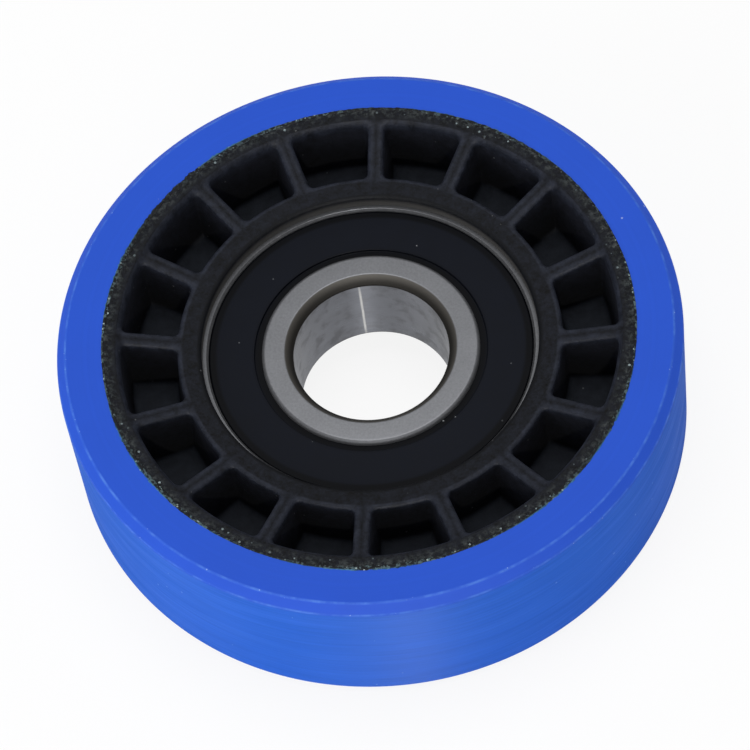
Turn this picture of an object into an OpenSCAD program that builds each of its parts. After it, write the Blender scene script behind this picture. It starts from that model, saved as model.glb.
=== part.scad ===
// Step roller: a polyurethane tyre on a ribbed nylon hub, which is moulded round
// a sealed deep-groove ball bearing. All sizes are in millimetres.
// The origin is the middle of the roller, and +Z runs along the bore.

/* [Tyre] */
// Diameter over the tread
tread_d = 80; // [78:0.5:90]
// Width of the tyre and of the hub
roller_w = 22; // [21:0.5:28]
// Thickness of the tyre between tread and hub
tyre_t = 6; // [4:0.5:7]
// Leg of the bevel along both edges of the tread
tread_bevel = 1.2; // [0.6:0.1:2]
// Rounding of the bevel's arrises
bevel_round = 0.4; // [0.1:0.1:0.6]

/* [Hub] */
// Width of the rim between the tyre and the pockets
rim_w = 2.1; // [2:0.1:3]
// Width of the flat land on the rim's face
rim_land = 1.6; // [1:0.1:1.9]
// Drop from the side face to the outer end of a rib
rib_drop = 0.6; // [0.4:0.1:1.2]
// Drop from the side face to the inner end of a rib
collar_drop = 2; // [1.5:0.1:2.2]
// Drop from the side face to the edge of a lip
lip_drop = 2.3; // [2.2:0.1:2.8]
// Wall of the collar round the bearing, at the mouth of the pockets
collar_wall = 1.1; // [0.8:0.1:1.8]
// Reach of each lip over the face of the outer ring
lip_reach = 1.9; // [1.2:0.1:2.4]
// Rounding of the lip's edge
lip_round = 0.5; // [0.2:0.1:0.8]
// Number of pockets on each side
pocket_count = 16; // [12:1:18]
// Thickness of a rib at its top
rib_t = 2; // [1.4:0.1:2.6]
// Draft of the pocket's walls in degrees
pocket_draft = 4; // [1:0.5:6]
// Corner radius of a pocket at its mouth
pocket_corner = 0.8; // [0.7:0.1:1.6]
// Chamfer along the ribs and the collar at the mouth of a pocket
mouth_chamfer = 0.35; // [0.1:0.05:0.5]
// Chamfer between the floor and the walls of a pocket
floor_chamfer = 0.8; // [0.2:0.1:1]
// Thickness of the web between the pockets of both sides
web_t = 5.2; // [4:0.2:8]

/* [Rings and balls] */
// Bore of the inner ring
bore_d = 20; // [19:0.5:21]
// Outer diameter of the outer ring
bearing_d = 47; // [46:0.5:48]
// Width of both rings
bearing_w = 14; // [13:0.2:15]
// Corner radius of the outer ring at its outside
ring_corner = 1; // [0.6:0.1:1.2]
// Chamfer at both ends of the bore, measured along the radius
bore_chamfer = 1; // [0.6:0.1:1.2]
// Depth of the bore's chamfer, measured along the bore
bore_chamfer_depth = 1.15; // [0.8:0.05:1.4]
// Rounding of the arrises of the bore's chamfer
bore_arris = 0.2; // [0.1:0.05:0.3]
// Chamfer at the mouth of the seal's seat in the outer ring
seat_chamfer = 0.25; // [0.1:0.05:0.4]
// Rounding of the inner ring's shoulders
shoulder_round = 0.5; // [0.2:0.1:0.7]
// Diameter of a ball
ball_d = 7.938; // [7.638:0.05:8.138]
// Depth of the inner ring's groove below its shoulders
inner_groove_depth = 1.25; // [1.1:0.05:1.4]
// Depth of the outer ring's groove below its shoulders
outer_groove_depth = 1.6; // [1.4:0.1:1.8]
// Radius of the ball grooves for each millimetre of ball diameter
groove_share = 0.52; // [0.515:0.005:0.54]
// Clearance between a ball and each race
race_gap = 0.02; // [0.01:0.01:0.05]

/* [Cage] */
// Thickness of the cage's sheet
cage_t = 0.7; // [0.5:0.1:0.8]
// Width of the cage's ribbon
cage_w = 3.4; // [2.8:0.2:3.8]
// Clearance between a ball and its cage pocket
cage_gap = 0.08; // [0.05:0.01:0.12]
// Shank diameter of a rivet
rivet_d = 1.3; // [1:0.1:1.5]
// Head diameter of a rivet
rivet_head_d = 2.3; // [2:0.1:2.6]
// Height of a rivet's head
rivet_head_h = 0.55; // [0.4:0.05:0.7]

/* [Seals] */
// Height of the seal's seat above the outer ring's shoulder
seat_step = 1.75; // [1.6:0.05:1.8]
// Depth of a seal's face below the face of the rings
seal_recess = 0.35; // [0.2:0.05:0.6]
// Clearance between a seal and the cage
seal_gap = 0.4; // [0.2:0.05:0.6]
// Rounding of the seal's outer edge
seal_round = 0.3; // [0.1:0.1:0.5]
// Radius of the bead that snaps into the outer ring
bead_r = 0.35; // [0.25:0.05:0.4]
// Width of the sealing lip beside the inner ring
lip_w = 0.9; // [0.6:0.1:1.1]
// Step from the seal's face down to the lip
lip_step = 0.4; // [0.2:0.1:0.6]
// Clearance between the lip and the inner ring
lip_gap = 0.05; // [0.02:0.01:0.1]
// Sheet thickness of the seal's insert
insert_t = 0.5; // [0.4:0.1:0.6]
// Rubber over the edge of the insert's flange
flange_cover = 0.6; // [0.4:0.1:0.8]
// Rubber between the lip and the insert
insert_margin = 0.4; // [0.3:0.1:0.8]

/* [Hidden] */
$fn = 96;
half_w = roller_w / 2;
tread_r = tread_d / 2;
hub_r = tread_r - tyre_t;
pocket_out_r = hub_r - rim_w;
pocket_in_r = bearing_d / 2 + collar_wall;
lip_r = bearing_d / 2 - lip_reach;
rib_round = 0.3;

bore_r = bore_d / 2;
ring_r = bearing_d / 2;
face_z = bearing_w / 2;
pitch_r = (bore_r + ring_r) / 2;
ball_r = ball_d / 2;
groove_r = groove_share * ball_d;
inner_race_r = pitch_r - ball_r - race_gap;
outer_race_r = pitch_r + ball_r + race_gap;
inner_shoulder_r = inner_race_r + inner_groove_depth;
outer_shoulder_r = outer_race_r - outer_groove_depth;
balls = 8;
ball_angle = 360 / balls;

cage_pocket_r = ball_r + cage_gap;
cage_top = cage_pocket_r + cage_t;

seat_r = outer_shoulder_r + seat_step;
seal_top = face_z - seal_recess;
seal_base = cage_top + seal_gap;
seal_t = seal_top - seal_base;
lip_in_r = inner_shoulder_r + lip_gap;
lip_out_r = lip_in_r + lip_w;
insert_in_r = lip_out_r + insert_margin;
bead_z = seal_base + seal_t / 2;

corner_steps = 3;
arc_steps = 2;
least_corner = 0.1;

// Rounded profiles. A corner is [point before, corner point, point after, radius].
function unit(v) = v / norm(v);
function polar(r, a) = [r * cos(a), r * sin(a)];
function flip(points) = [for (i = [len(points) - 1:-1:0]) [points[i][0], -points[i][1]]];
function reversed(list) = [for (i = [len(list) - 1:-1:0]) list[i]];
function half_angle(c) = acos(unit(c[0] - c[1]) * unit(c[2] - c[1])) / 2;
function bend(c) = cross(c[1] - c[0], c[2] - c[1]);
function disc_centre(c) =
    c[1] + c[3] / sin(half_angle(c)) * unit(unit(c[0] - c[1]) + unit(c[2] - c[1]));
function cut_corner(c) =
    let (back = c[3] / tan(half_angle(c)))
    c[3] == 0 ? [c[1]] : [c[1] + back * unit(c[0] - c[1]), c[1] + back * unit(c[2] - c[1])];

// A polygon, given counter-clockwise, with its own radius at each corner
module rounded_profile(points, radii) {
    n = len(points);
    corners = [for (i = [0:n - 1]) [points[(i + n - 1) % n], points[i], points[(i + 1) % n], radii[i]]];
    difference() {
        union() {
            polygon([for (c = corners) each cut_corner(c)]);
            for (c = corners)
                if (c[3] > 0 && bend(c) > 0) translate(disc_centre(c)) circle(c[3]);
        }
        for (c = corners)
            if (c[3] > 0 && bend(c) < 0) translate(disc_centre(c)) circle(c[3]);
    }
}

// A solid through like rings of points, from the lowest to the highest
module loft(rings) {
    n = len(rings[0]);
    top = (len(rings) - 1) * n;
    sides = [for (k = [0:len(rings) - 2]) for (i = [0:n - 1]) each [
        [k * n + i, (k + 1) * n + i, (k + 1) * n + (i + 1) % n],
        [k * n + i, (k + 1) * n + (i + 1) % n, k * n + (i + 1) % n]
    ]];
    polyhedron(
        points = [for (ring = rings) each ring],
        faces = concat([[for (i = [0:n - 1]) i]], [[for (i = [n - 1:-1:0]) top + i]], sides)
    );
}

module on_both_sides() {
    children();
    mirror([0, 0, 1]) children();
}

module round_the_balls() {
    for (i = [0:balls - 1]) rotate(i * ball_angle) translate([pitch_r, 0, 0]) children();
}

// Tyre
module tyre() {
    upper = [[tread_r, half_w - tread_bevel], [tread_r - tread_bevel, half_w], [hub_r, half_w]];
    color([0.19, 0.35, 0.78])
        rotate_extrude()
            rounded_profile(
                concat(flip(upper), upper),
                [0, bevel_round, bevel_round, bevel_round, bevel_round, 0]
            );
}

// Hub
function arc(centre, r, from, to, steps) =
    [for (i = [0:steps]) centre + polar(r, from + (to - from) * i / steps)];
function inner_points(points) = [for (i = [1:len(points) - 2]) points[i]];

// Outline of a pocket about +X, moved inwards from its mouth by inset
function pocket_outline(inset) =
    let (
        outer = pocket_out_r - inset,
        inner = pocket_in_r + inset,
        r = max(pocket_corner - inset, least_corner),
        away = rib_t / 2 + inset + r,
        rib_a = 180 / pocket_count,
        outer_a = rib_a - asin(away / (outer - r)),
        inner_a = rib_a - asin(away / (inner + r))
    )
    concat(
        arc(polar(outer - r, -outer_a), r, -rib_a - 90, -outer_a, corner_steps),
        inner_points(arc([0, 0], outer, -outer_a, outer_a, arc_steps)),
        arc(polar(outer - r, outer_a), r, outer_a, rib_a + 90, corner_steps),
        arc(polar(inner + r, inner_a), r, rib_a + 90, inner_a + 180, corner_steps),
        inner_points(arc([0, 0], inner, inner_a, -inner_a, arc_steps)),
        arc(polar(inner + r, -inner_a), r, -inner_a - 180, -rib_a - 90, corner_steps)
    );

function drafted(z) = (half_w - z) * tan(pocket_draft);
function rib_top(r) =
    half_w - lookup(r, [[pocket_in_r, collar_drop], [pocket_out_r, rib_drop]]);

function pocket_ring(z, inset) = [for (p = pocket_outline(inset)) [p[0], p[1], z]];

// A ring that follows the sloping ribs at a height above their tops. It grows by spread beside
// the ribs and the collar, and not beside the rim, where the slope of the rim breaks the edge.
function mouth_ring(above, spread) = [
    for (i = [0:len(pocket_outline(0)) - 1])
        let (
            r = norm(pocket_outline(0)[i]),
            z = rib_top(r) + above,
            share = min((pocket_out_r - r) / pocket_corner, 1),
            p = pocket_outline(drafted(z) - spread * share)[i]
        )
        [p[0], p[1], z]
];

module pocket() {
    floor_z = web_t / 2;
    wall_z = floor_z + floor_chamfer;
    loft([
        pocket_ring(floor_z, drafted(floor_z) + floor_chamfer),
        pocket_ring(wall_z, drafted(wall_z)),
        mouth_ring(-mouth_chamfer, 0),
        mouth_ring(mouth_chamfer, 2 * mouth_chamfer)
    ]);
}

module hub_section() {
    upper = [
        [hub_r, half_w],
        [hub_r - rim_land, half_w],
        [pocket_out_r, half_w - rib_drop],
        [pocket_in_r, half_w - collar_drop],
        [lip_r, half_w - lip_drop]
    ];
    radii = [0, rib_round, 0, 0, lip_round];
    difference() {
        rounded_profile(concat(flip(upper), upper), concat(reversed(radii), radii));
        outer_ring_outline(0);
    }
}

module hub() {
    color([0.1, 0.1, 0.11])
        difference() {
            rotate_extrude() hub_section();
            on_both_sides()
                for (i = [0:pocket_count - 1]) rotate((i + 0.5) * 360 / pocket_count) pocket();
        }
}

// Bearing rings
module outer_ring_outline(inside_r) {
    rounded_profile(
        [[inside_r, -face_z], [ring_r, -face_z], [ring_r, face_z], [inside_r, face_z]],
        [0, ring_corner, ring_corner, 0]
    );
}

module seal_seat_section() {
    translate([outer_shoulder_r - seat_step, seal_base]) square([2 * seat_step, seal_t + 2 * seal_recess]);
    translate([seat_r, bead_z]) circle(bead_r);
    translate([seat_r, face_z]) rotate(45) square(seat_chamfer * sqrt(2), center = true);
}

module outer_ring() {
    color([0.62, 0.63, 0.64])
        rotate_extrude()
            difference() {
                outer_ring_outline(outer_shoulder_r);
                translate([outer_race_r - groove_r, 0]) circle(groove_r);
                seal_seat_section();
                mirror([0, 1]) seal_seat_section();
            }
}

module inner_ring() {
    upper = [
        [inner_shoulder_r, face_z],
        [bore_r + bore_chamfer, face_z],
        [bore_r, face_z - bore_chamfer_depth]
    ];
    radii = [shoulder_round, bore_arris, bore_arris];
    color([0.62, 0.63, 0.64])
        rotate_extrude()
            difference() {
                rounded_profile(concat(flip(upper), upper), concat(reversed(radii), radii));
                translate([inner_race_r + groove_r, 0]) circle(groove_r);
            }
}

// Balls
module ball(i) {
    color([0.8, 0.81, 0.82])
        rotate((i - 1) * ball_angle) translate([pitch_r, 0, 0]) sphere(ball_r);
}

// Cage
module ribbon(h) {
    difference() {
        cylinder(h = h, r = pitch_r + cage_w / 2);
        translate([0, 0, -h]) cylinder(h = 3 * h, r = pitch_r - cage_w / 2);
    }
}

module cage_half() {
    color([0.7, 0.68, 0.62])
        difference() {
            intersection() {
                union() {
                    cylinder(h = cage_t, r = pitch_r + cage_w);
                    round_the_balls() sphere(cage_top);
                }
                ribbon(2 * cage_top);
            }
            round_the_balls() sphere(cage_pocket_r);
            rotate(ball_angle / 2) round_the_balls() cylinder(h = 4 * cage_t, d = rivet_d, center = true);
        }
}

module rivet_half_section() {
    head_r = rivet_head_d / 2;
    dome_r = (head_r * head_r + rivet_head_h * rivet_head_h) / (2 * rivet_head_h);
    square([rivet_d / 2, cage_t]);
    intersection() {
        translate([0, cage_t + rivet_head_h - dome_r]) circle(dome_r);
        translate([0, cage_t]) square([head_r, rivet_head_h]);
    }
}

module cage_rivets() {
    color([0.75, 0.74, 0.7])
        rotate(ball_angle / 2)
            round_the_balls()
                rotate_extrude() {
                    rivet_half_section();
                    mirror([0, 1]) rivet_half_section();
                }
}

// Seals
module insert_section() {
    translate([insert_in_r, seal_base]) square([outer_shoulder_r - insert_in_r, insert_t]);
    translate([outer_shoulder_r - insert_t, seal_base]) square([insert_t, seal_t - flange_cover]);
}

module seal_half() {
    lip_top = seal_top - lip_step;
    color([0.11, 0.12, 0.14])
        rotate_extrude()
            difference() {
                union() {
                    rounded_profile(
                        [
                            [lip_in_r, seal_base], [seat_r, seal_base], [seat_r, seal_top],
                            [lip_out_r, seal_top], [lip_out_r, lip_top], [lip_in_r, lip_top]
                        ],
                        [0, 0, seal_round, lip_step / 4, lip_step / 4, 0]
                    );
                    translate([seat_r, bead_z]) circle(bead_r);
                }
                insert_section();
            }
}

module seal_insert() {
    color([0.55, 0.56, 0.58]) rotate_extrude() insert_section();
}

tyre();
hub();
outer_ring();
inner_ring();
ball(1);  // ball_1
ball(2);  // ball_2
ball(3);  // ball_3
ball(4);  // ball_4
ball(5);  // ball_5
ball(6);  // ball_6
ball(7);  // ball_7
ball(8);  // ball_8
cage_half();  // cage_upper
mirror([0, 0, 1]) cage_half();  // cage_lower
cage_rivets();
seal_half();  // seal_upper
seal_insert();  // seal_upper_insert
mirror([0, 0, 1]) seal_half();  // seal_lower
mirror([0, 0, 1]) seal_insert();  // seal_lower_insert
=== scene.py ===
"""A step roller lying flat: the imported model, dressed in cast, moulded and ground finishes."""

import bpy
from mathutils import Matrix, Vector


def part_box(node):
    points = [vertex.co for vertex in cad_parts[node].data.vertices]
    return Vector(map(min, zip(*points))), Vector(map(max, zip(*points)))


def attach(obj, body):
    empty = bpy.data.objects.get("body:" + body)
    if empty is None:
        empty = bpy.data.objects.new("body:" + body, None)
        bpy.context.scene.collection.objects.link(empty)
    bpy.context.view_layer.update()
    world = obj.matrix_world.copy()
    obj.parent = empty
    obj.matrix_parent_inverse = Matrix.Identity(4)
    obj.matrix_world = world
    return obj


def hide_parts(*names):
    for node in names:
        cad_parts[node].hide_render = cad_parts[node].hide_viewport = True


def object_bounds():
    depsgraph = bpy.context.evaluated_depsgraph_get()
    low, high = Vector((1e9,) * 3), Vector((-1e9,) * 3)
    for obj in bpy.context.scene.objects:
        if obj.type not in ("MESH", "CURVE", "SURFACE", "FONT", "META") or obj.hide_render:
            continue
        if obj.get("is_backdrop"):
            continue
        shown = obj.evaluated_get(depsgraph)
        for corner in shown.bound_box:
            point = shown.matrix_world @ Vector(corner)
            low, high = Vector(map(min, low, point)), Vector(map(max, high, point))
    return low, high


bl_info = {
    "name": "Step roller",
    "version": (1, 0, 0),
    "blender": (4, 5, 0),
    "location": "View3D > Sidebar > Step roller",
    "description": "Polyurethane tyre, pocketed nylon hub and sealed ball bearing of a step roller",
    "category": "Object",
}

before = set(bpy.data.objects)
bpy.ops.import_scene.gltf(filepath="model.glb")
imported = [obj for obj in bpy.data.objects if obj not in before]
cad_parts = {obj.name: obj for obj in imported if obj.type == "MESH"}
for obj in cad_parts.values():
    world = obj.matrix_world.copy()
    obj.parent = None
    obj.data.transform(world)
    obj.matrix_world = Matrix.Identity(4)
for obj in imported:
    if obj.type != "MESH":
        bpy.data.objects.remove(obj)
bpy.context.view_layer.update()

import math
from types import SimpleNamespace

import bmesh
import bpy
from bpy.props import (
    FloatProperty,
    FloatVectorProperty,
    IntProperty,
    PointerProperty,
)
from bpy.types import Operator, Panel, PropertyGroup
from mathutils import Matrix, Vector, noise

MM = 0.001

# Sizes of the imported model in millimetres. Shapes and patterns are worked out in millimetres too.
HALF_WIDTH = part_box("tyre")[1].z / MM
TREAD_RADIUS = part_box("tyre")[1].x / MM
HUB_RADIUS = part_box("hub")[1].x / MM
RING_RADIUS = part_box("outer_ring")[1].x / MM
RING_HALF_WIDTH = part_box("inner_ring")[1].z / MM
LIP_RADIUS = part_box("inner_ring")[1].x / MM
BORE_RADIUS = 10
RING_CORNER = 1  # Leg of the outer ring's corner, which the hub fills.

# How finely shapes are cut, and within what distance points count as in place.
TURNED_STEPS = 256
ROUNDING_STEPS = 4
SMOOTH_BELOW = math.radians(40)
NEAR = 1e-3
SAME = 1e-4


def screen(red, green, blue):
    """Linear colour of a screen colour that is given from 0 to 255."""
    return tuple(
        c / 12.92 if c < 0.04 else ((c + 0.055) / 1.055) ** 2.4
        for c in (red / 255, green / 255, blue / 255)
    )


def length(name, description, default):
    return FloatProperty(
        name=name, description=description, default=default, min=0, precision=5, unit="LENGTH"
    )


def share(name, description, default):
    return FloatProperty(
        name=name, description=description, default=default, min=0, max=1, subtype="FACTOR"
    )


def power(name, description, default):
    return FloatProperty(
        name=name, description=f"Power of {description}", default=default, min=0,
        unit="POWER",
    )


def colour(name, description, default):
    return FloatVectorProperty(
        name=name, description=description, default=default, size=3, min=0, max=1, subtype="COLOR"
    )


# Settings


class TyreSettings(PropertyGroup):
    colour: colour("Colour", "Colour of the cast polyurethane", screen(36, 82, 200))
    turned: colour("Turned", "Colour where the tread is turned", screen(32, 94, 200))
    # The arrises' colour is a painted highlight along the bevel's arrises.
    arris_highlight: colour("Scuffed", "Colour of the worn arrises", screen(96, 146, 226))
    nicked: colour("Nicked", "Colour of the nicks in the arrises", screen(170, 195, 235))
    dust: colour("Dust", "Colour of the dust on the sides", screen(190, 200, 225))
    flecks: colour("Flecks", "Colour of the flecks on the tread", screen(150, 180, 230))
    roughness: share("Roughness", "Roughness of the cast face", 0.65)
    bevel: length("Bevel", "Leg of the bevel along both edges of the tread", 1.2 * MM)
    arris: length("Arris", "Set-back of the rounding on the bevel's arrises", 0.2 * MM)
    line_pitch: length("Line pitch", "Spacing of the turning lines round the tread", 0.35 * MM)
    line_depth: length("Line depth", "Depth of the turning lines", 0.03 * MM)


class HubSettings(PropertyGroup):
    colour: colour("Colour", "Colour of the glass-filled nylon", screen(17, 19, 25))
    # Painted shade: the nylon darker down in the pockets.
    pocket_shade: colour("Deep", "Colour of the nylon down in the pockets", screen(8, 9, 14))
    # Painted light: the pockets' floors lighter than their walls.
    floor_light: colour("Dusty", "Colour of the pockets' floors, where dust gathers", screen(30, 33, 39))
    # Painted reflection: the grey of the lip's wall beside the bearing.
    wall_reflection: colour("Rubbed", "Colour of the lip's wall beside the bearing", screen(70, 69, 68))
    # Painted shade on the lip's rounded edge.
    lip_edge_shade: colour("Lip edge", "Colour of the lip's rounded edge", screen(4, 5, 8))
    torn: colour("Torn", "Colour of the torn skin along the tyre", screen(44, 54, 60))
    torn_pale: colour("Torn, pale", "Colour of the torn skin's patches", screen(104, 108, 106))
    crumbs: colour("Crumbs", "Colour of the crumbs along the tyre", screen(160, 176, 180))
    dust: colour("Dust", "Colour of single grains of dust", screen(120, 122, 124))
    roughness: share("Roughness", "Roughness of the moulded skin", 0.55)
    pocket_count: IntProperty(
        name="Pockets", description="Pockets on each side", default=16, min=8, max=24
    )
    rim_land: length("Rim land", "Width of the flat land on the rim", 1.6 * MM)
    land_round: length("Land rounding", "Rounding of the land's inner arris", 0.3 * MM)
    rim_width: length("Rim width", "Width of the rim between tyre and pockets", 2.1 * MM)
    rib_drop: length("Rib drop", "Drop from the side face to a rib's outer end", 0.6 * MM)
    collar_drop: length("Collar drop", "Drop from the side face to a rib's inner end", 2.0 * MM)
    lip_drop: length("Lip drop", "Drop from the side face to the edge of the lip", 2.3 * MM)
    collar_wall: length("Collar wall", "Wall round the bearing at the pockets' mouth", 1.1 * MM)
    lip_reach: length("Lip reach", "Reach of the lip over the outer ring", 1.9 * MM)
    lip_round: length("Lip rounding", "Rounding of the lip's edge", 0.5 * MM)
    rib: length("Rib", "Thickness of a rib at its top", 2.0 * MM)
    corner: length("Corner", "Corner radius of a pocket at its mouth", 0.8 * MM)
    mouth_round: length("Mouth rounding", "Rounding along the mouth of a pocket", 0.5 * MM)
    floor_round: length("Floor rounding", "Rounding round the floor of a pocket", 0.8 * MM)
    draft: FloatProperty(
        name="Draft", description="Draft of the pocket's walls", default=math.radians(4),
        min=0, max=math.radians(8), subtype="ANGLE",
    )
    web: length("Web", "Thickness of the web between the pockets of both sides", 2.8 * MM)


class BondSettings(PropertyGroup):
    colour: colour("Colour", "Colour of the bonding flash", screen(14, 15, 18))
    thin: colour("Thin", "Colour of the flash where it runs out on the tyre", screen(66, 122, 158))
    torn: colour("Torn", "Colour of the flash where it is torn", screen(112, 136, 140))
    crumbs: colour("Crumbs", "Colour of the crumbs in the flash", screen(165, 180, 180))
    bead: length("Bead", "Half width of the bead of flash round the hub", 0.22 * MM)
    ragged: length("Raggedness", "How far the edge of the flash strays", 0.13 * MM)
    rise: length("Rise", "Height of the flash above the side face", 0.1 * MM)


class BearingSettings(PropertyGroup):
    steel: colour("Steel", "Colour of the ground faces of the rings", screen(96, 97, 100))
    bore: colour("Bore", "Colour of the ground bore", screen(112, 114, 120))
    corner: colour("Corner", "Colour of the unground corners", screen(66, 64, 61))
    # Painted highlight: a narrow bright band along the bore.
    mark: colour("Mark", "Colour of the bright mark along the bore", screen(190, 189, 186))
    gleam_angle: FloatProperty(
        name="Mark angle", description="Where the mark runs along the bore",
        default=math.radians(101), subtype="ANGLE",
    )
    balls: colour("Balls", "Colour of the polished balls", screen(196, 198, 201))
    cage: colour("Cage", "Colour of the pressed cage", screen(158, 150, 134))
    rubber: colour("Seal", "Colour of the seals' rubber", screen(14, 17, 25))
    dust: colour("Dust", "Colour of the dust on the seals", screen(165, 168, 172))
    insert: colour("Insert", "Colour of the seals' sheet inserts", screen(150, 152, 156))
    chamfer: length("Chamfer", "Width of the bore's chamfer on the face", 1 * MM)
    chamfer_depth: length("Chamfer depth", "Depth of the bore's chamfer", 1.15 * MM)
    shoulder: length("Shoulder", "Rounding of the inner ring's shoulders", 0.5 * MM)
    arris: length("Arris", "Rounding of the chamfer's arrises", 0.2 * MM)
    groove: length("Groove", "Radius of the balls' groove", 4.128 * MM)
    groove_depth: length("Groove depth", "Depth of the balls' groove", 1.25 * MM)


class StageSettings(PropertyGroup):
    floor: colour("Floor", "Colour of the floor", screen(246, 246, 246))
    glow: share("Glow", "How far the floor is seen as plain white", 0.88)
    lens: FloatProperty(
        name="Lens", description="Focal length of the camera", default=200, min=20,
        unit="CAMERA",
    )
    camera: FloatVectorProperty(
        name="Camera", description="Place of the camera", size=3, subtype="TRANSLATION",
        default=(46.1 * MM, -272.0 * MM, 462.4 * MM), unit="LENGTH",
    )
    right: FloatVectorProperty(
        name="Right", description="Direction that lies level in the picture", size=3,
        subtype="DIRECTION", default=(1, -0.0131, -0.0077),
    )
    sky: share("Sky", "Strength of the even light from all round", 0.44)
    overhead: power("Overhead", "the soft lamp overhead", 3)
    left: power("Left", "the soft lamp at the left", 1.6)
    low: power("Low", "the soft low lamp in front", 1.2)
    glint: power("Glint", "the small lamp for highlights", 5)


SETTINGS = {
    "roller_tyre": TyreSettings,
    "roller_hub": HubSettings,
    "roller_bond": BondSettings,
    "roller_bearing": BearingSettings,
    "roller_stage": StageSettings,
}

# Name, size and place of each lamp, in metres. Its power is the setting of the same name.
LAMPS = (
    ("overhead", 0.5, (0, 0.1, 0.8)),
    ("left", 0.4, (-0.55, -0.4, 0.3)),
    ("low", 0.3, (-0.1, -0.69, 0.14)),
    ("glint", 0.025, (0.08, -0.53, 0.45)),
)


def in_mm(group):
    """The values of a settings group, with its lengths in millimetres."""
    values = {}
    for name in group.__annotations__:
        value = getattr(group, name)
        is_length = group.bl_rna.properties[name].unit == "LENGTH"
        values[name] = value / MM if is_length else value
    return SimpleNamespace(**values)


# Finishes


class Wire:
    """The output of a node. Sums on wires and numbers add Math nodes."""

    def __init__(self, finish, socket):
        self.finish = finish
        self.socket = socket

    def __add__(self, other):
        return self.finish.math("ADD", self, other)

    __radd__ = __add__

    def __sub__(self, other):
        return self.finish.math("SUBTRACT", self, other)

    def __rsub__(self, other):
        return self.finish.math("SUBTRACT", other, self)

    def __mul__(self, other):
        return self.finish.math("MULTIPLY", self, other)

    __rmul__ = __mul__

    def __truediv__(self, other):
        return self.finish.math("DIVIDE", self, other)

    def __pow__(self, other):
        return self.finish.math("POWER", self, other)

    def __gt__(self, other):
        return self.finish.math("GREATER_THAN", self, other)

    def __lt__(self, other):
        return self.finish.math("LESS_THAN", self, other)

    def __abs__(self):
        return self.finish.math("ABSOLUTE", self)


class Nodes:
    """The node tree of a material or of the world."""

    def __init__(self, tree):
        self.tree = tree

    def node(self, kind, inputs=(), settings=(), out=0):
        """Adds a node, with its settings first, then its values and wires."""
        made = self.tree.nodes.new("ShaderNode" + kind)
        for key, value in dict(settings).items():
            setattr(made, key, value)
        for key, value in dict(inputs).items():
            if isinstance(value, Wire):
                self.tree.links.new(value.socket, made.inputs[key])
            else:
                made.inputs[key].default_value = value
        return Wire(self, made.outputs[out])

    def math(self, operation, *values):
        return self.node("Math", dict(enumerate(values)), {"operation": operation})

    def seen(self):
        """1 on rays that show the background: to the camera, off metal and through glass."""
        rays = ("Is Camera Ray", "Is Glossy Ray", "Is Transmission Ray")
        return sum(self.node("LightPath", out=ray) for ray in rays)


# Values of the Principled surface: plastic, metal, and a grain that runs round the axis.
PLASTIC = {"IOR": 1.5}
METAL = {"Metallic": 1.0}
ROUND_GRAIN = {"Anisotropic": 0.95, "Anisotropic Rotation": 0.25}


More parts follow.
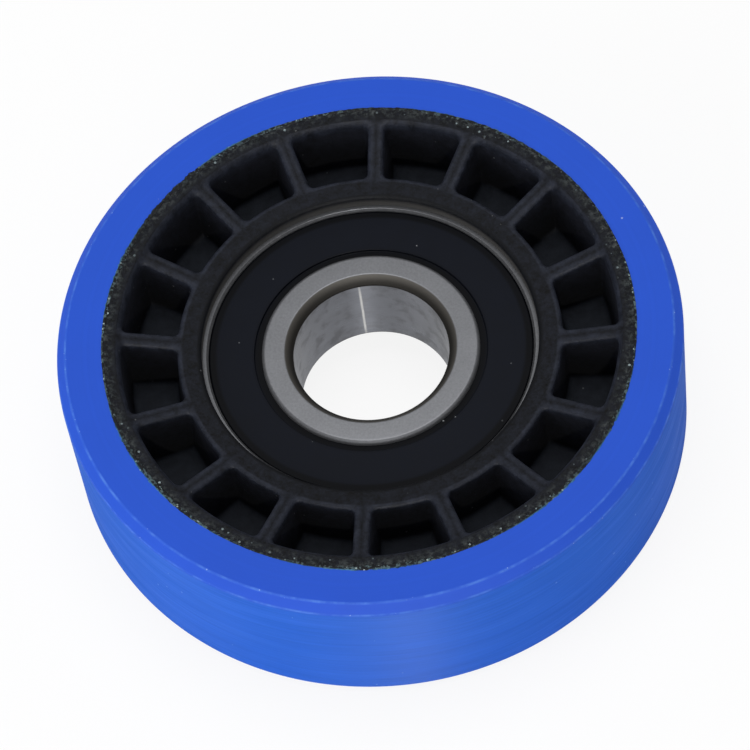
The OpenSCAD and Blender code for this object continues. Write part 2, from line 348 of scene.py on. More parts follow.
class Finish(Nodes):
    """A material with one Principled surface, and the nodes that vary it."""

    def __init__(self, name, constants):
        self.material = bpy.data.materials.new(name)
        self.material.use_nodes = True
        super().__init__(self.material.node_tree)
        self.surface = self.tree.nodes["Principled BSDF"]
        for socket, value in constants.items():
            self.surface.inputs[socket].default_value = value

    def place(self):
        """Object coordinates in millimetres: the whole vector, and x, y and z."""
        here = self.node("TexCoord", out="Object")
        where = self.node("Mapping", {"Vector": here, "Scale": (1 / MM,) * 3})
        axes = [self.node("SeparateXYZ", {"Vector": where}, out=axis) for axis in "XYZ"]
        return where, *axes

    def grain(self, where, size, detail, rough=0.5):
        """Noise from 0 to 1 whose grains are about as large as size."""
        return self.node(
            "TexNoise",
            {"Vector": where, "Scale": 1 / size, "Detail": detail, "Roughness": rough},
        )

    def lines(self, along, pitch):
        """Noise that changes along one measure only, as turning and grinding lines do."""
        return self.node(
            "TexNoise",
            {"W": along, "Scale": 1 / pitch, "Detail": 2},
            {"noise_dimensions": "1D"},
        )

    def streaks(self, x, y, z, pitch, detail):
        """Noise in long strokes round the axis, as a tool leaves them on a turned face."""
        stretch = 0.07
        where = self.node("CombineXYZ", {"X": stretch * x, "Y": stretch * y, "Z": z / pitch})
        return self.grain(where, 1, detail)

    def specks(self, where, size, few):
        """A mask of round specks in cells of a size, on a share of the cells."""
        cell = {"Vector": where, "Scale": 1 / size}
        near = self.node("TexVoronoi", cell, {"feature": "F1"}, out="Distance")
        pick = self.node("TexVoronoi", cell, {"feature": "F1"}, out="Color")
        chance = self.node("SeparateColor", {"Color": pick}, out="Red")
        speck_radius = 0.22
        return (near < speck_radius) * (chance < few)

    def fade(self, value, low, high):
        """0 at low, 1 at high and smooth between them."""
        return self.node(
            "MapRange",
            {"Value": value, "From Min": low, "From Max": high},
            {"interpolation_type": "SMOOTHSTEP"},
        )

    def vary(self, middle, *spreads):
        """A middle value, which each wire from 0 to 1 moves over its own spread."""
        for wire, spread in spreads:
            middle = middle + spread * (wire - 0.5)
        return middle

    def mix(self, factor, first, second):
        """A colour between two colours or wires of colour."""
        first, second = [
            value if isinstance(value, Wire) else (*value, 1) for value in (first, second)
        ]
        return self.node(
            "Mix", {"Factor": factor, 6: first, 7: second}, {"data_type": "RGBA"}, out=2
        )

    def shade(self, tint, factor):
        """A colour made darker or lighter by a factor about 1."""
        grey = self.node("CombineColor", {"Red": factor, "Green": factor, "Blue": factor})
        return self.node(
            "Mix",
            {"Factor": 1.0, 6: (*tint, 1), 7: grey},
            {"data_type": "RGBA", "blend_type": "MULTIPLY"},
            out=2,
        )

    def feed(self, socket, wire):
        self.tree.links.new(wire.socket, self.surface.inputs[socket])

    def bump(self, height, distance):
        """Relief of a height from 0 to 1, whose full height is a distance."""
        self.feed("Normal", self.node("Bump", {"Height": height, "Distance": distance * MM}))


def from_axis(x, y):
    """The distance of a place from the roller's axis."""
    return (x * x + y * y) ** 0.5


def highlight_arrises(finish, tyre, where, radius, height, skin):
    """Paints a highlight along the arrises of the bevel, broken here and there, with a few nicks in
    them.
    """

    def beside(measure, edge):
        return finish.fade(abs(measure - edge), 0.22, 0.05)

    def out_to(measure, face):
        return finish.fade(measure, face - 0.25, face - 0.15)

    outer = beside(height, HALF_WIDTH - tyre.bevel) * out_to(radius, TREAD_RADIUS)
    inner = beside(radius, TREAD_RADIUS - tyre.bevel) * out_to(height, HALF_WIDTH)
    arris = outer + inner
    breaks = finish.fade(finish.grain(where, size=2.2, detail=4, rough=0.6), 0.4, 0.7)
    # Painted highlight along both arrises of the bevel, broken here and there.
    skin = finish.mix(arris * (0.08 + 0.4 * breaks), skin, tyre.arris_highlight)
    nicks = finish.specks(where, size=0.35, few=0.08) * arris
    return finish.mix(0.7 * nicks, skin, tyre.nicked)


def cast_polyurethane(tyre):
    """Blue polyurethane as it is cast: dull, with a painted highlight and a few nicks along the
    arrises, and a little dust.
    """
    finish = Finish("cast_polyurethane", {**PLASTIC, "Specular IOR Level": 0.14})
    where, x, y, z = finish.place()
    radius = from_axis(x, y)
    cloud = finish.grain(where, size=9, detail=3)
    rings = finish.lines(radius, pitch=0.5)
    skin = finish.shade(tyre.colour, finish.vary(0.99, (cloud, 0.12), (rings, 0.06)))
    # Painted highlight along the arrises, with nicks.
    skin = highlight_arrises(finish, tyre, where, radius, abs(z), skin)
    dust = finish.specks(where, size=0.7, few=0.003)
    finish.feed("Base Color", finish.mix(0.4 * dust, skin, tyre.dust))
    finish.feed("Roughness", finish.vary(tyre.roughness, (cloud, 0.1)))
    finish.bump(rings, 0.004)
    return finish.material


def turned_polyurethane(tyre):
    """The tread, turned after casting: fine strokes round it, and a highlight across them."""
    finish = Finish(
        "turned_polyurethane", {**PLASTIC, **ROUND_GRAIN, "Specular IOR Level": 0.18}
    )
    where, x, y, z = finish.place()
    cloud = finish.grain(where, size=9, detail=3)
    fine = finish.streaks(x, y, z, pitch=tyre.line_pitch, detail=4)
    broad = finish.streaks(x, y, z, pitch=5 * tyre.line_pitch, detail=3)
    tone = finish.vary(1.0, (cloud, 0.1), (fine, 0.34), (broad, 0.2))
    skin = finish.shade(tyre.turned, tone)
    # Painted highlight along the arrises, with nicks.
    skin = highlight_arrises(finish, tyre, where, from_axis(x, y), abs(z), skin)
    flecks = finish.specks(where, size=0.7, few=0.006)
    finish.feed("Base Color", finish.mix(0.4 * flecks, skin, tyre.flecks))
    finish.feed("Roughness", finish.vary(0.54, (broad, -0.3), (fine, -0.16)))
    finish.bump(0.5 * fine + broad, tyre.line_depth)
    return finish.material


def glass_filled_nylon(hub):
    """Black nylon with a mottled skin, torn along the tyre, with painted highlights along the
    pockets' mouths, painted shade in the pockets and painted light on their floors. The lip's wall
    beside the bearing has a painted reflection in grey, and its rounded edge painted shade.
    """
    finish = Finish("glass_filled_nylon", {**PLASTIC, "Specular IOR Level": 0.08})
    where, x, y, z = finish.place()
    radius, height = from_axis(x, y), abs(z)
    grain = finish.grain(where, size=0.36, detail=3, rough=0.65)
    patch = finish.grain(where, size=1.3, detail=3, rough=0.6)
    cloud = finish.grain(where, size=4, detail=2)
    # Painted highlight along the rounded mouths of the pockets, patchy.
    worn = finish.node("Attribute", settings={"attribute_name": "worn"}, out="Fac")
    tone = finish.vary(0.914, (cloud, 0.3), (grain, 3.2), (patch, 2.4)) + 3.2 * worn * patch

    rim = HUB_RADIUS - hub.rim_width
    slope = (hub.collar_drop - hub.rib_drop) / (rim - RING_RADIUS)
    rib_top = HALF_WIDTH - hub.rib_drop - slope * (rim - radius)
    # Painted shade, darker with depth down the pockets.
    depth = finish.fade(rib_top - height, 0.3, 1.5)
    skin = finish.mix(depth, finish.shade(hub.colour, tone), finish.shade(hub.pocket_shade, tone + 0.2))
    # Painted light on the pockets' floors, patchy.
    floor = depth * finish.fade(height, hub.web / 2 + 0.9, hub.web / 2 + 0.1)
    skin = finish.mix(0.9 * floor, skin, finish.shade(hub.floor_light, 0.5 + patch))

    lip, lip_top = RING_RADIUS - hub.lip_reach, HALF_WIDTH - hub.lip_drop
    # Painted reflection: the lip's wall beside the bearing in grey.
    wall = finish.fade(radius, lip + 0.3, lip + 0.1)
    wall = wall * finish.fade(height, lip_top - 0.1, RING_HALF_WIDTH + 0.5)
    skin = finish.mix(0.9 * wall, skin, hub.wall_reflection)
    # Painted shade on the lip's rounded edge.
    edge = finish.fade(radius, lip + 0.7, lip + 0.4)
    edge = edge * finish.fade(height, lip_top - 0.5, lip_top - 0.2)
    skin = finish.mix(0.8 * edge, skin, hub.lip_edge_shade)

    torn = finish.fade(radius, HUB_RADIUS - 1.7, HUB_RADIUS - 0.4)
    torn = torn * finish.fade(height, HALF_WIDTH - 0.7, HALF_WIDTH - 0.2)
    ragged = finish.fade(finish.grain(where, size=0.7, detail=4, rough=0.7), 0.42, 0.66) * torn
    skin = finish.mix(0.55 * ragged, skin, finish.mix(patch, hub.torn, hub.torn_pale))
    thick = finish.fade(finish.grain(where, size=14, detail=1), 0.3, 0.55)
    crumbs = finish.specks(where, size=0.75, few=0.24) * torn * thick
    skin = finish.mix(0.85 * crumbs, skin, hub.crumbs)
    dust = finish.specks(where, size=0.55, few=0.008)
    finish.feed("Base Color", finish.mix(0.35 * dust, skin, hub.dust))
    finish.feed(
        "Roughness", finish.vary(hub.roughness, (grain, 0.2)) - 0.08 * worn + 0.2 * depth
    )
    finish.bump(grain + 0.8 * patch + 2 * ragged, 0.07)
    return finish.material


def bonding_flash(bond):
    """Black bonding agent squeezed out round the hub, torn here and there, with pale crumbs."""
    finish = Finish("bonding_flash", {**PLASTIC, "Specular IOR Level": 0.12})
    where, x, y, _ = finish.place()
    grain = finish.grain(where, size=0.18, detail=3, rough=0.6)
    thick = finish.fade(finish.grain(where, size=14, detail=1), 0.35, 0.6)
    torn = finish.fade(finish.grain(where, size=0.45, detail=3, rough=0.6), 0.5, 0.6)
    skin = finish.shade(bond.colour, 0.6 + 0.8 * grain)
    skin = finish.mix(0.45 * torn * (0.25 + 0.75 * thick), skin, bond.torn)
    thin = finish.fade(from_axis(x, y), HUB_RADIUS + 0.08, HUB_RADIUS + 0.25)
    patch = finish.fade(finish.grain(where, size=5, detail=2), 0.38, 0.55)
    skin = finish.mix(0.7 * thin * patch, skin, bond.thin)
    crumbs = finish.specks(where, size=0.55, few=0.4) * thick
    finish.feed("Base Color", finish.mix(0.75 * crumbs, skin, bond.crumbs))
    finish.feed("Roughness", 0.45 + 0.3 * grain)
    finish.bump(grain, 0.03)
    return finish.material


def ground_steel(bearing):
    """Bearing steel: ground flat on the faces, rougher on the outer ring, brown in the chamfer,
    with painted shade on the corners, on the outer ring and towards the bore.
    """
    finish = Finish("ground_steel", METAL)
    where, x, y, z = finish.place()
    radius = from_axis(x, y)
    on_face = finish.fade(abs(z), RING_HALF_WIDTH - 0.06, RING_HALF_WIDTH - 0.01)
    corner = 1 - on_face
    outer_ring = finish.fade(radius, LIP_RADIUS + 3, LIP_RADIUS + 5)
    mottle = finish.grain(where, size=0.32, detail=4, rough=0.7)
    cloud = finish.grain(where, size=4, detail=2)
    # Painted shade: darker on the corners, and on the outer ring under the hub's lip.
    tone = finish.vary(0.93, (cloud, 0.16), (mottle, 0.6)) - 0.3 * corner - 0.22 * outer_ring
    # Painted shade in the chamfer: its brown darker towards the bore.
    inward = finish.fade(radius, BORE_RADIUS + 1, BORE_RADIUS + 0.2)
    shaded_brown = finish.shade(bearing.corner, 1.1 - 0.75 * inward)
    chamfer = corner * finish.fade(radius, BORE_RADIUS + 1.3, BORE_RADIUS + 0.9)
    finish.feed("Base Color", finish.mix(chamfer, finish.shade(bearing.steel, tone), shaded_brown))
    finish.feed(
        "Roughness", finish.vary(0.36, (mottle, 0.1)) + 0.32 * corner + 0.12 * outer_ring
    )
    scratches = finish.lines(x * 0.8 + y * 0.6, pitch=0.1)
    finish.bump(on_face * 0.5 * (scratches + mottle), 0.004)
    return finish.material


def ground_bore(bearing):
    """The bore, ground round and round: softly stained, with a painted highlight along it."""
    finish = Finish("ground_bore", {**METAL, **ROUND_GRAIN})
    where, x, y, z = finish.place()
    cloud = finish.grain(where, size=3, detail=3)
    lines = finish.streaks(x, y, z, pitch=0.2, detail=3)
    stain = finish.fade(finish.grain(where, size=2.4, detail=4, rough=0.6), 0.46, 0.66)
    steel = finish.shade(bearing.bore, finish.vary(0.95, (cloud, 0.3), (lines, 0.2)))
    steel = finish.mix(0.3 * stain, steel, bearing.corner)
    # Painted highlight: a narrow bright band along the far side of the bore, strongest in the
    # middle.
    sideways = math.sin(bearing.gleam_angle) * x - math.cos(bearing.gleam_angle) * y
    mark = finish.fade(abs(finish.vary(sideways, (cloud, 0.1))), 0.24, 0.02) * (y > 0)
    middle = finish.fade(abs(z), RING_HALF_WIDTH - 1, RING_HALF_WIDTH - 3)
    finish.feed("Base Color", finish.mix(mark * (0.3 + 0.4 * middle), steel, bearing.mark))
    finish.feed("Roughness", finish.vary(0.29, (lines, 0.1)) + 0.06 * stain)
    finish.bump(lines, 0.003)
    return finish.material


def polished_steel(bearing):
    """Polished balls with a film of grease."""
    finish = Finish("polished_steel", {**METAL, "Coat Roughness": 0.25})
    film = finish.grain(finish.place()[0], size=1.5, detail=3)
    finish.feed("Base Color", finish.shade(bearing.balls, 0.92 + 0.1 * film))
    finish.feed("Roughness", 0.06 + 0.1 * film)
    finish.feed("Coat Weight", 0.5 * finish.fade(film, 0.45, 0.6))
    return finish.material


def pressed_steel(bearing):
    """Pressed sheet of the cage, drawn matt round the pockets."""
    finish = Finish("pressed_steel", METAL)
    where = finish.place()[0]
    cloud = finish.grain(where, size=2, detail=3)
    grain = finish.grain(where, size=0.2, detail=2)
    finish.feed("Base Color", finish.shade(bearing.cage, 0.85 + 0.25 * cloud))
    finish.feed("Roughness", 0.36 + 0.18 * grain)
    finish.bump(grain, 0.006)
    return finish.material


def seal_rubber(bearing):
    """Nitrile rubber of the seals: nearly black, with painted shade at both edges and a little
    dust.
    """
    finish = Finish("seal_rubber", {**PLASTIC, "Specular IOR Level": 0.05})
    where, x, y, _ = finish.place()
    radius = from_axis(x, y)
    cloud = finish.grain(where, size=3, detail=3)
    # Painted shade by the inner ring and along the outer edge.
    lip = finish.fade(radius, LIP_RADIUS + 1.5, LIP_RADIUS + 0.4)
    edge = finish.fade(radius, RING_RADIUS - 3.9, RING_RADIUS - 3.4)
    skin = finish.shade(bearing.rubber, 0.8 + 0.3 * cloud - 0.7 * (lip + edge))
    patch = finish.fade(finish.grain(where, size=9, detail=1), 0.45, 0.6)
    dust = finish.specks(where, size=0.5, few=0.012) * patch
    finish.feed("Base Color", finish.mix(0.6 * dust, skin, bearing.dust))
    finish.feed("Roughness", finish.vary(0.46, (cloud, 0.14)))
    grain = finish.grain(where, size=0.15, detail=2)
    rings = finish.lines(radius, pitch=0.4)
    finish.bump(0.5 * grain + 0.5 * rings, 0.006)
    return finish.material


def plated_sheet(bearing):
    """Zinc-grey sheet of the seals' inserts."""
    finish = Finish("plated_sheet", METAL)
    grain = finish.grain(finish.place()[0], size=0.5, detail=3)
    finish.feed("Base Color", finish.shade(bearing.insert, 0.85 + 0.2 * grain))
    finish.feed("Roughness", 0.3 + 0.2 * grain)
    return finish.material


# Pieces


def verts_of(geometry):
    return [item for item in geometry if isinstance(item, bmesh.types.BMVert)]


def edges_of(geometry):
    return [item for item in geometry if isinstance(item, bmesh.types.BMEdge)]


def radius_of(vert):
    return vert.co.xy.length


def round_off(bm, geometry, size, affect="EDGES", segments=ROUNDING_STEPS):
    bm.normal_update()
    return bmesh.ops.bevel(
        bm, geom=geometry, offset=size, offset_type="OFFSET", segments=segments,
        profile=0.5, affect=affect, material=-1, clamp_overlap=True,
    )


def turned_ring(bm, corners):
    """Turns a section about the axis. A corner is its radius, height and rounding."""
    points = [bm.verts.new((radius, 0, height)) for radius, height, _ in corners]
    bm.faces.new(points)
    for size in sorted({corner[2] for corner in corners} - {0}):
        round_off(bm, [p for p, c in zip(points, corners) if c[2] == size], size, "VERTICES")
    section = list(bm.edges)
    bmesh.ops.delete(bm, geom=list(bm.faces), context="FACES_ONLY")
    bmesh.ops.spin(
        bm, geom=section, cent=(0, 0, 0), axis=(0, 0, 1), dvec=(0, 0, 0),
        angle=math.tau, steps=TURNED_STEPS, use_merge=True,
    )


def both_sides(half):
    """The corners of half a section, and the same ones mirrored in the roller's middle."""
    return half + [(radius, -height, size) for radius, height, size in reversed(half)]


def make_piece(bm, name, finishes, body, replaces=()):
    """Turns a bmesh in millimetres into a shaded object that rides on a body."""
    bmesh.ops.scale(bm, verts=bm.verts, vec=(MM, MM, MM))
    bmesh.ops.recalc_face_normals(bm, faces=bm.faces)
    for face in bm.faces:
        face.smooth = True
    for edge in bm.edges:
        edge.smooth = edge.calc_face_angle(0) < SMOOTH_BELOW
    mesh = bpy.data.meshes.new(name)
    bm.to_mesh(mesh)
    bm.free()
    for finish in finishes:
        mesh.materials.append(finish)
    piece = bpy.data.objects.new(name, mesh)
    bpy.context.scene.collection.objects.link(piece)
    normals = piece.modifiers.new("Even shading", "WEIGHTED_NORMAL")
    normals.keep_sharp = True
    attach(piece, body)
    if replaces:
        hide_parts(*replaces)


def paint_nodes(finish, *nodes):
    """Gives CAD nodes a finish, and leaves their meshes alone."""
    for node in nodes:
        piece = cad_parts[node]
        piece.data.materials.clear()
        piece.data.materials.append(finish)


def tyre_mesh(tyre):
    """The tyre with a rounded bevel along both edges. Its tread takes the second finish."""
    bm = bmesh.new()
    half = [
        (HUB_RADIUS, HALF_WIDTH, 0),
        (TREAD_RADIUS - tyre.bevel, HALF_WIDTH, tyre.arris),
        (TREAD_RADIUS, HALF_WIDTH - tyre.bevel, tyre.arris),
    ]
    turned_ring(bm, both_sides(half))
    for face in bm.faces:
        inmost = min(radius_of(vert) for vert in face.verts)
        face.material_index = inmost > TREAD_RADIUS - 0.01
    return bm


def ring_mesh(bearing):
    """The inner ring with its shoulders, groove and chamfered bore, which takes the second
    finish.
    """
    bm = bmesh.new()
    half = [
        (LIP_RADIUS, RING_HALF_WIDTH, bearing.shoulder),
        (BORE_RADIUS + bearing.chamfer, RING_HALF_WIDTH, bearing.arris),
        (BORE_RADIUS, RING_HALF_WIDTH - bearing.chamfer_depth, bearing.arris),
    ]
    middle = LIP_RADIUS - bearing.groove_depth + bearing.groove
    reach, steps = math.acos((middle - LIP_RADIUS) / bearing.groove), 32
    angles = [reach * (2 * step / steps - 1) for step in range(steps + 1)]
    groove = [
        (middle - bearing.groove * math.cos(angle), bearing.groove * math.sin(angle), 0)
        for angle in angles
    ]
    turned_ring(bm, both_sides(half) + groove)
    for face in bm.faces:
        outmost = max(radius_of(vert) for vert in face.verts)
        face.material_index = outmost < BORE_RADIUS + 0.01
    return bm


def hub_radii(hub):
    """Radii of the lip's edge, the pockets' inner and outer ends and the rim's land."""
    lip, inner = RING_RADIUS - hub.lip_reach, RING_RADIUS + hub.collar_wall
    return lip, inner, HUB_RADIUS - hub.rim_width, HUB_RADIUS - hub.rim_land


def skin_height(hub, radius):
    """Height of the hub's skin: ribs that slope from the rim to the lip, with soft breaks."""
    lip, inner, outer, land = hub_radii(hub)
    profile = [(lip, hub.lip_drop), (inner, hub.collar_drop), (outer, hub.rib_drop), (land, 0)]

    def drop(at):
        for (low, first), (high, second) in zip(profile, profile[1:]):
            if at <= high:
                return first + (second - first) * (at - low) / (high - low)
        return 0

    blend = 0.2
    drops = [drop(radius + step) for step in (-blend, 0, 0, blend)]
    return HALF_WIDTH - sum(drops) / len(drops)


def pocket_skin(bm, hub, collar):
    """Makes the face that fills a pocket's mouth, and the skin round it as far as the middle
    of the ribs, the land and the collar. Returns the face.
    """
    _, inner, outer, land = hub_radii(hub)
    half_sector = math.pi / hub.pocket_count

    def side_angle(radius):
        return half_sector - math.asin(hub.rib / 2 / radius)

    corners = [
        bm.verts.new((radius, side * radius * math.sin(side_angle(radius)), 0))
        for radius, side in ((outer, -1), (outer, 1), (inner, 1), (inner, -1))
    ]
    bm.faces.new(corners)
    arc_steps, side_cuts, shortest_side = 6, 6, 2
    round_off(bm, corners, hub.corner, "VERTICES", segments=arc_steps)
    mouth = bm.faces[:][0]
    sides = [edge for edge in mouth.edges if edge.calc_length() > shortest_side]
    bmesh.ops.bisect_edges(bm, edges=sides, cuts=side_cuts)
    for vert in bm.verts:
        vert.co.x = math.sqrt(vert.co.x**2 - vert.co.y**2)

    # Carries the mouth's outline out to a square, corner to corner and evenly between them.
    made = bmesh.ops.extrude_edge_only(bm, edges=list(mouth.edges))["geom"]
    edge_verts = set(verts_of(made))
    middle, reach = (outer + inner) / 2, (outer - inner) / 2
    spots = {}
    for vert in edge_verts:
        radius = radius_of(vert)
        across = (radius - middle) / reach
        along = math.atan2(vert.co.y, vert.co.x) / side_angle(radius)
        most = max(abs(across), abs(along))
        spots[vert] = (across / most, along / most)
    for across, along in ((-1, -1), (-1, 1), (1, -1), (1, 1)):
        nearest = max(spots, key=lambda vert: spots[vert][0] * across + spots[vert][1] * along)
        spots[nearest] = (across, along)
    for vert, (across, along) in spots.items():
        radius = middle + across * reach
        radius += max(across, 0) * (land - outer) - max(-across, 0) * (inner - collar)
        angle = along * half_sector
        vert.co.xy = radius * math.cos(angle), radius * math.sin(angle)
    spokes = [e for e in edges_of(made) if len(edge_verts & set(e.verts)) == 1]
    bmesh.ops.subdivide_edges(bm, edges=spokes, cuts=2, use_grid_fill=True)
    for vert in bm.verts:
        vert.co.z = skin_height(hub, radius_of(vert))
    return mouth


def sink_pocket(bm, hub, floor):
    """Sinks the face in a pocket's mouth down drafted walls to a floor with a round edge."""
    _, inner, outer, _ = hub_radii(hub)
    floor_height = hub.web / 2
    wall_height = floor_height + hub.floor_round
    bm.normal_update()
    bmesh.ops.inset_region(
        bm, faces=[floor], thickness=(HALF_WIDTH - wall_height) * math.tan(hub.draft), depth=0,
        use_boundary=True, use_even_offset=True,
    )
    for vert in floor.verts:
        vert.co.z = wall_height
    middle = (outer + inner) / 2
    across = max(vert.co.x for vert in floor.verts) - middle
    along = max(vert.co.y for vert in floor.verts)
    steps = 5
    for step in range(steps):
        turn, last = ((step + k) * math.pi / 2 / steps for k in (1, 0))
        inset, before = (hub.floor_round * (1 - math.cos(angle)) for angle in (turn, last))
        floor = bmesh.ops.extrude_discrete_faces(bm, faces=[floor])["faces"][0]
        for vert in floor.verts:
            vert.co.x = middle + (vert.co.x - middle) * (across - inset) / (across - before)
            vert.co.y *= (along - inset) / (along - before)
            vert.co.z = wall_height - hub.floor_round * math.sin(turn)


def carry(bm, edges, radius, height):
    """Extrudes edges to another radius and height, and returns the new edges."""
    made = bmesh.ops.extrude_edge_only(bm, edges=edges)["geom"]
    new = set(verts_of(made))
    for vert in new:
        vert.co.xy *= radius / radius_of(vert)
        vert.co.z = height
    return [edge for edge in edges_of(made) if set(edge.verts) <= new]


def hub_mesh(hub):
    """One pocket and the skin round it, repeated on the circle and mirrored."""
    bm = bmesh.new()
    worn = bm.verts.layers.float.new("worn")
    lip, inner, _, land = hub_radii(hub)
    collar = inner - 0.7
    floor = pocket_skin(bm, hub, collar)
    mouth = list(floor.edges)
    sink_pocket(bm, hub, floor)
    # Marks the rounded mouths of the pockets for their painted highlight.
    for vert in round_off(bm, mouth, hub.mouth_round)["verts"]:
        vert[worn] = 1

    def ring_at(radius):
        return [
            e for e in bm.edges
            if e.is_boundary and all(abs(radius_of(v) - radius) < NEAR for v in e.verts)
        ]

    lip_height = HALF_WIDTH - hub.lip_drop
    edges = carry(bm, ring_at(land), HUB_RADIUS, HALF_WIDTH)
    carry(bm, edges, HUB_RADIUS, 0)
    edges = ring_at(collar)
    for radius, height in (
        (lip, lip_height), (lip, RING_HALF_WIDTH), (RING_RADIUS - RING_CORNER, RING_HALF_WIDTH),
        (RING_RADIUS, RING_HALF_WIDTH - RING_CORNER), (RING_RADIUS, 0),
    ):
        edges = carry(bm, edges, radius, height)

    sector = math.tau / hub.pocket_count
    bmesh.ops.spin(
        bm, geom=bm.verts[:] + bm.edges[:] + bm.faces[:], cent=(0, 0, 0), axis=(0, 0, 1),
        dvec=(0, 0, 0), angle=math.tau - sector, steps=hub.pocket_count - 1, use_duplicate=True,
    )
    bmesh.ops.remove_doubles(bm, verts=bm.verts, dist=SAME)
    blend_drop = 0.06
    for radius, height, size in (
        (land, HALF_WIDTH, hub.land_round), (lip, lip_height, hub.lip_round),
    ):
        arris = [
            e for e in bm.edges
            if all(
                abs(radius_of(v) - radius) < NEAR and abs(v.co.z - height) < blend_drop
                for v in e.verts
            )
        ]
        round_off(bm, arris, size)
    bmesh.ops.mirror(
        bm, geom=bm.verts[:] + bm.edges[:] + bm.faces[:], matrix=Matrix.Identity(4),
        merge_dist=SAME, axis="Z",
    )
    turn = Matrix.Rotation(sector / 2, 3, "Z")
    bmesh.ops.rotate(bm, verts=bm.verts, cent=(0, 0, 0), matrix=turn)
    return bm


def bond_mesh(bond, side):
    """A thin bead round the hub whose width and height stray."""
    bm = bmesh.new()
    bead = bmesh.ops.create_circle(bm, cap_ends=False, segments=8, radius=bond.bead)["verts"]
    bmesh.ops.rotate(bm, verts=bead, cent=(0, 0, 0), matrix=Matrix.Rotation(math.pi / 2, 3, "X"))
    bmesh.ops.translate(bm, verts=bead, vec=(HUB_RADIUS, 0, 0))
    bmesh.ops.spin(
        bm, geom=bm.verts[:] + bm.edges[:], cent=(0, 0, 0), axis=(0, 0, 1), dvec=(0, 0, 0),
        angle=math.tau, steps=1200, use_merge=True,
    )
    ragged_size, patch_size, apart = 0.4, 14, 20 * side
    for vert in bm.verts:
        out = radius_of(vert) - HUB_RADIUS
        spot = Vector((vert.co.x, vert.co.y, apart + out)) / ragged_size
        stray = noise.noise(spot) + 0.6 * noise.noise(spot * 2.3)
        slow = noise.noise(Vector((vert.co.x, vert.co.y, apart)) / patch_size)
        width = 1 + 0.8 * slow
        radius = HUB_RADIUS + out * width + bond.ragged * stray * max(0.2, 0.7 + slow)
        vert.co.xy *= radius / radius_of(vert)
        lift = vert.co.z / bond.bead * bond.rise * (1 + 0.8 * stray)
        vert.co.z = side * (HALF_WIDTH + lift)
    return bm


# Stage


def floor_finish(stage):
    """Pale floor that looks white and keeps a soft shadow."""
    finish = Finish("floor", {"Roughness": 0.9, "Specular IOR Level": 0.1})
    finish.surface.inputs["Base Color"].default_value = (*stage.floor, 1)
    glow = finish.node("Emission", {"Color": (1, 1, 1, 1), "Strength": 1.0})
    mixed = finish.node("MixShader", {
        0: stage.glow * finish.seen(), 1: Wire(finish, finish.surface.outputs[0]), 2: glow,
    })
    finish.tree.links.new(mixed.socket, finish.tree.nodes["Material Output"].inputs["Surface"])
    return finish.material


def add_floor(stage):
    """A wide floor just under the roller and its flash."""
    bm = bmesh.new()
    radius, gap = 3, 0.02 * MM
    bmesh.ops.create_circle(bm, cap_ends=True, segments=64, radius=radius)
    bmesh.ops.translate(bm, verts=bm.verts, vec=(0, 0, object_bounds()[0].z - gap))
    mesh = bpy.data.meshes.new("floor")
    bm.to_mesh(mesh)
    bm.free()
    mesh.materials.append(floor_finish(stage))
    floor = bpy.data.objects.new("floor", mesh)
    bpy.context.scene.collection.objects.link(floor)
    floor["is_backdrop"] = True


def white_sky(stage):
    """Even light from all round, seen as white."""
    world = bpy.data.worlds.new("sky")
    world.use_nodes = True
    nodes = Nodes(world.node_tree)
    sky = nodes.tree.nodes["Background"]
    sky.inputs["Color"].default_value = (1, 1, 1, 1)
    strength = stage.sky + (1 - stage.sky) * nodes.seen()
    nodes.tree.links.new(strength.socket, sky.inputs["Strength"])
    return world


def add_lamp(name, size, power, place):
    """A square lamp that shines on the roller's middle."""
    lamp = bpy.data.lights.new(name, "AREA")
    lamp.size = size
    lamp.energy = power
    holder = bpy.data.objects.new(name, lamp)
    holder.location = place
    holder.rotation_euler = (-Vector(place)).to_track_quat("-Z", "Y").to_euler()
    bpy.context.scene.collection.objects.link(holder)
    return holder


def add_camera(stage):
    """The camera, which looks at the roller's middle from where the photo was taken."""
    camera = bpy.data.cameras.new("camera")
    camera.lens = stage.lens
    camera.sensor_width = 36
    camera.clip_start = 0.01
    holder = bpy.data.objects.new("camera", camera)
    place, right = Vector(stage.camera), Vector(stage.right)
    forward = -place.normalized()
    right = (right - right.project(forward)).normalized()
    turn = Matrix((right, right.cross(forward), -forward)).transposed()
    holder.matrix_world = Matrix.Translation(place) @ turn.to_4x4()
    bpy.context.scene.collection.objects.link(holder)
    bpy.context.scene.camera = holder


# Operators


class STEPROLLER_OT_tyre(Operator):
    """Make the tyre with its rounded bevels and turned tread"""

    bl_idname = "step_roller.tyre"
    bl_label = "Tyre"

    def execute(self, context):
        tyre = in_mm(context.scene.roller_tyre)
        make_piece(
            tyre_mesh(tyre), "tyre_cast", [cast_polyurethane(tyre), turned_polyurethane(tyre)],
            "wheel", ["tyre"],
        )
        return {"FINISHED"}


class STEPROLLER_OT_hub(Operator):
    """Make the hub moulding with its drafted pockets and sloping ribs"""

    bl_idname = "step_roller.hub"
    bl_label = "Hub"

    def execute(self, context):
        hub = in_mm(context.scene.roller_hub)
        make_piece(
            hub_mesh(hub), "hub_moulding", [glass_filled_nylon(hub)], "wheel",
            ["hub"],
        )
        return {"FINISHED"}


class STEPROLLER_OT_bond(Operator):
    """Make the ragged flash where the tyre is bonded to the hub"""

    bl_idname = "step_roller.bond"
    bl_label = "Bonding flash"

    def execute(self, context):
        bond = in_mm(context.scene.roller_bond)
        finish = bonding_flash(bond)
        for name, side in (("bond_flash_upper", 1), ("bond_flash_lower", -1)):
            make_piece(bond_mesh(bond, side), name, [finish], "wheel")
        return {"FINISHED"}


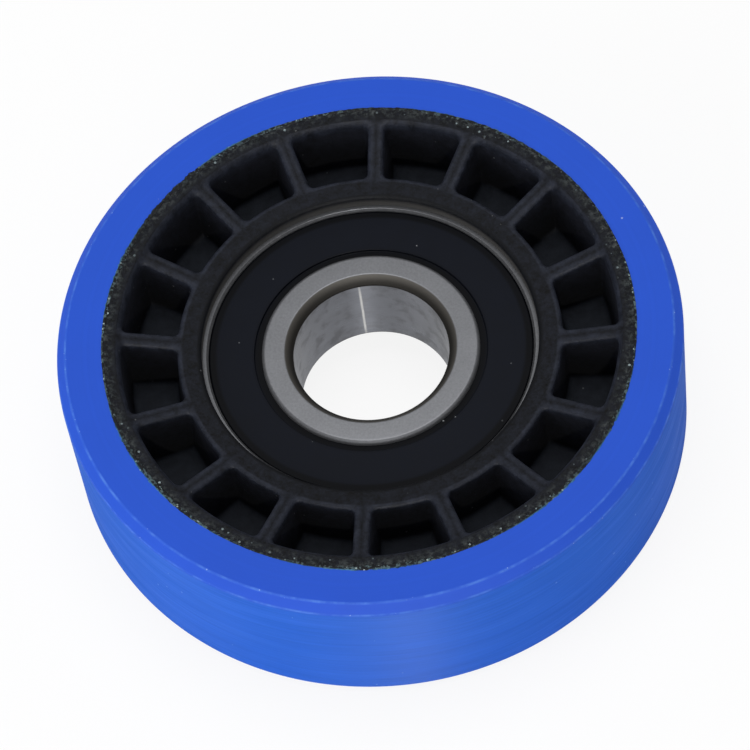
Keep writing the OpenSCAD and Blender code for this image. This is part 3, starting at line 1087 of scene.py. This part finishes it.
class STEPROLLER_OT_rings(Operator):
    """Make the inner ring and finish both rings as ground steel"""

    bl_idname = "step_roller.rings"
    bl_label = "Bearing rings"

    def execute(self, context):
        bearing = in_mm(context.scene.roller_bearing)
        steel = ground_steel(bearing)
        make_piece(
            ring_mesh(bearing), "inner_ring_ground", [steel, ground_bore(bearing)], "axle_side",
            ["inner_ring"],
        )
        paint_nodes(steel, "outer_ring")
        return {"FINISHED"}


class STEPROLLER_OT_balls(Operator):
    """Finish the balls, the cage halves and their rivets"""

    bl_idname = "step_roller.balls"
    bl_label = "Balls and cage"

    def execute(self, context):
        bearing = in_mm(context.scene.roller_bearing)
        balls = [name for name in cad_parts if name.startswith("ball_")]
        paint_nodes(polished_steel(bearing), *balls)
        paint_nodes(pressed_steel(bearing), "cage_upper", "cage_lower", "cage_rivets")
        return {"FINISHED"}


class STEPROLLER_OT_seals(Operator):
    """Finish the rubber seals and their sheet inserts"""

    bl_idname = "step_roller.seals"
    bl_label = "Seals"

    def execute(self, context):
        bearing = in_mm(context.scene.roller_bearing)
        paint_nodes(seal_rubber(bearing), "seal_upper", "seal_lower")
        paint_nodes(plated_sheet(bearing), "seal_upper_insert", "seal_lower_insert")
        return {"FINISHED"}


class STEPROLLER_OT_stage(Operator):
    """Make the floor, the soft light and the camera"""

    bl_idname = "step_roller.stage"
    bl_label = "Stage"

    def execute(self, context):
        scene, stage = context.scene, context.scene.roller_stage
        add_floor(stage)
        scene.world = white_sky(stage)
        for name, size, place in LAMPS:
            lamp = add_lamp(f"lamp_{name}", size, getattr(stage, name), place)
            lamp.visible_diffuse = name != "glint"
        add_camera(stage)
        scene.view_settings.view_transform = "Standard"
        return {"FINISHED"}


class STEPROLLER_PT_panel(Panel):
    """Lists the pieces of the roller and their sizes and colours"""

    bl_idname = "STEPROLLER_PT_panel"
    bl_label = "Step roller"
    bl_space_type = "VIEW_3D"
    bl_region_type = "UI"
    bl_category = "Step roller"

    def draw(self, context):
        for operator in OPERATORS:
            self.layout.operator(operator.bl_idname)
        for name, group in SETTINGS.items():
            box = self.layout.box()
            for prop in group.__annotations__:
                box.prop(getattr(context.scene, name), prop)


OPERATORS = (
    STEPROLLER_OT_tyre,
    STEPROLLER_OT_hub,
    STEPROLLER_OT_bond,
    STEPROLLER_OT_rings,
    STEPROLLER_OT_balls,
    STEPROLLER_OT_seals,
    STEPROLLER_OT_stage,
)
CLASSES = (*SETTINGS.values(), *OPERATORS, STEPROLLER_PT_panel)


def register():
    for cls in CLASSES:
        bpy.utils.register_class(cls)
    for name, group in SETTINGS.items():
        setattr(bpy.types.Scene, name, PointerProperty(type=group))


def unregister():
    for name in SETTINGS:
        delattr(bpy.types.Scene, name)
    for cls in reversed(CLASSES):
        bpy.utils.unregister_class(cls)


def main():
    register()
    for operator in OPERATORS:
        _, name = operator.bl_idname.split(".")
        getattr(bpy.ops.step_roller, name)()


if __name__ == "__main__":
    main()
